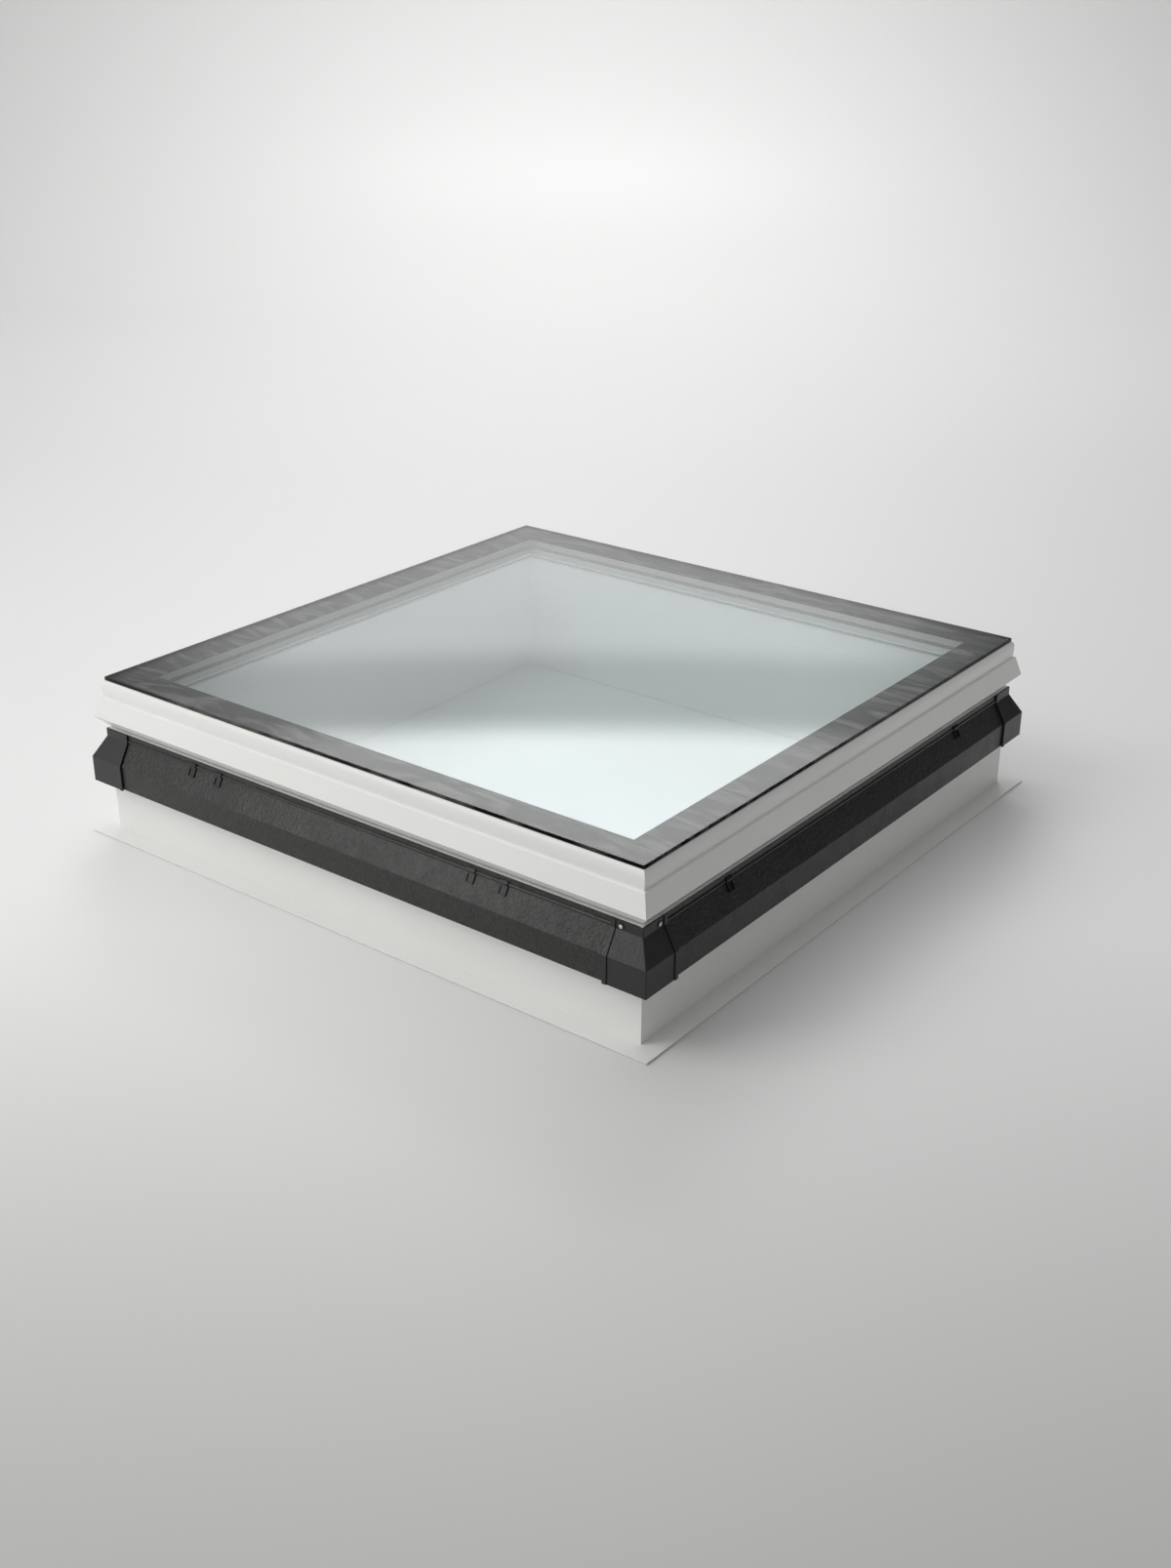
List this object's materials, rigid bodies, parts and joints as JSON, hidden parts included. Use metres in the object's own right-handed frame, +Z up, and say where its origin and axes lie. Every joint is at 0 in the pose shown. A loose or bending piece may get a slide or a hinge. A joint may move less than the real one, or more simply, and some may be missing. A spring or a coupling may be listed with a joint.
{
  "type": "roof skylight",
  "caption": "Square flat-glass roof skylight on a white plastic kerb, with a hinged glazed sash, black roof-covering trim and a concealed chain opener.",
  "frame": {"origin": "centre of the light shaft at the underside of the kerb flange", "axes": "+Z up, -Y towards the side that opens, +Y towards the hinges"},
  "size_m": [1.277, 1.277, 0.306],
  "materials": {
    "white_pvc": "satin, extruded and welded",
    "hatch_white": "satin",
    "black_trim": "satin, fine leather grain",
    "black_cap": "satin, moulded",
    "black_clip": "semi-gloss, moulded",
    "black_rubber": "matt",
    "clear_glass": "polished, slightly blue-green",
    "black_enamel": "fired enamel seen through the pane",
    "spacer_grey": "warm grey, satin",
    "edge_sealant": "matt",
    "screw_steel": "bright",
    "hinge_steel": "zinc plated",
    "galvanised": "galvanised",
    "foam": "expanded foam",
    "case_aluminium": "anodised",
    "motor_black": "satin",
    "gear_zinc": "die-cast",
    "board_green": "lacquered",
    "chain_steel": "oiled",
    "guide_bronze": "machined"
  },
  "bodies": {
    "kerb": {"kerb_frame": "white_pvc", "kerb_insulation": "foam", "inner_seat_gasket": "black_rubber", "outer_seat_gasket": "black_rubber", "trim_strip_front": "black_trim", "trim_strip_right": "black_trim", "trim_strip_back": "black_trim", "trim_strip_left": "black_trim", "corner_cap_front_right": "black_cap", "corner_cap_back_right": "black_cap", "corner_cap_back_left": "black_cap", "corner_cap_front_left": "black_cap", "cap_screws": "screw_steel", "trim_clips": "black_clip", "hinge_kerb_leaves": "hinge_steel", "hinge_pins": "hinge_steel", "kerb_leaf_screws": "screw_steel", "operator_case": "case_aluminium", "drive_motor": "motor_black", "drive_gearbox": "gear_zinc", "control_board": "board_green", "operator_cover": "hatch_white", "cover_screws": "screw_steel"},
    "sash": {"sash_frame": "white_pvc", "sash_reinforcement": "galvanised", "outer_pane": "clear_glass", "enamel_border": "black_enamel", "spacer_frame": "spacer_grey", "edge_seal": "edge_sealant", "inner_pane": "clear_glass", "inner_pane_gasket": "black_rubber", "bed_seal": "edge_sealant", "hinge_sash_leaves": "hinge_steel", "sash_leaf_screws": "screw_steel", "chain_bracket": "hinge_steel", "bracket_screws": "screw_steel"},
    "chain_guide": {"chain_guide": "guide_bronze"},
    "chain": {"drive_chain": "chain_steel"}
  },
  "joints": [
    {"name": "sash_hinge", "type": "hinge", "parent": "kerb", "child": "sash", "pos_m": [0, 0.594, 0.2148], "axis": [-1, 0, 0], "range_deg": [0, 10]},
    {"name": "guide_swivel", "type": "hinge", "parent": "kerb", "child": "chain_guide", "pos_m": [0, -0.55667, 0.22801], "axis": [-1, 0, 0], "range_deg": [0, 4.6]},
    {"name": "chain_slide", "type": "slide", "parent": "chain_guide", "child": "chain", "axis": [0, 0.0306, 0.9995], "range_m": [0, 0.201]}
  ],
  "couplings": [
    {"joint": "guide_swivel", "follows": "sash_hinge", "ratio": 0.4506},
    {"joint": "chain_slide", "follows": "sash_hinge", "m_per_rad": 1.1486}
  ]
}
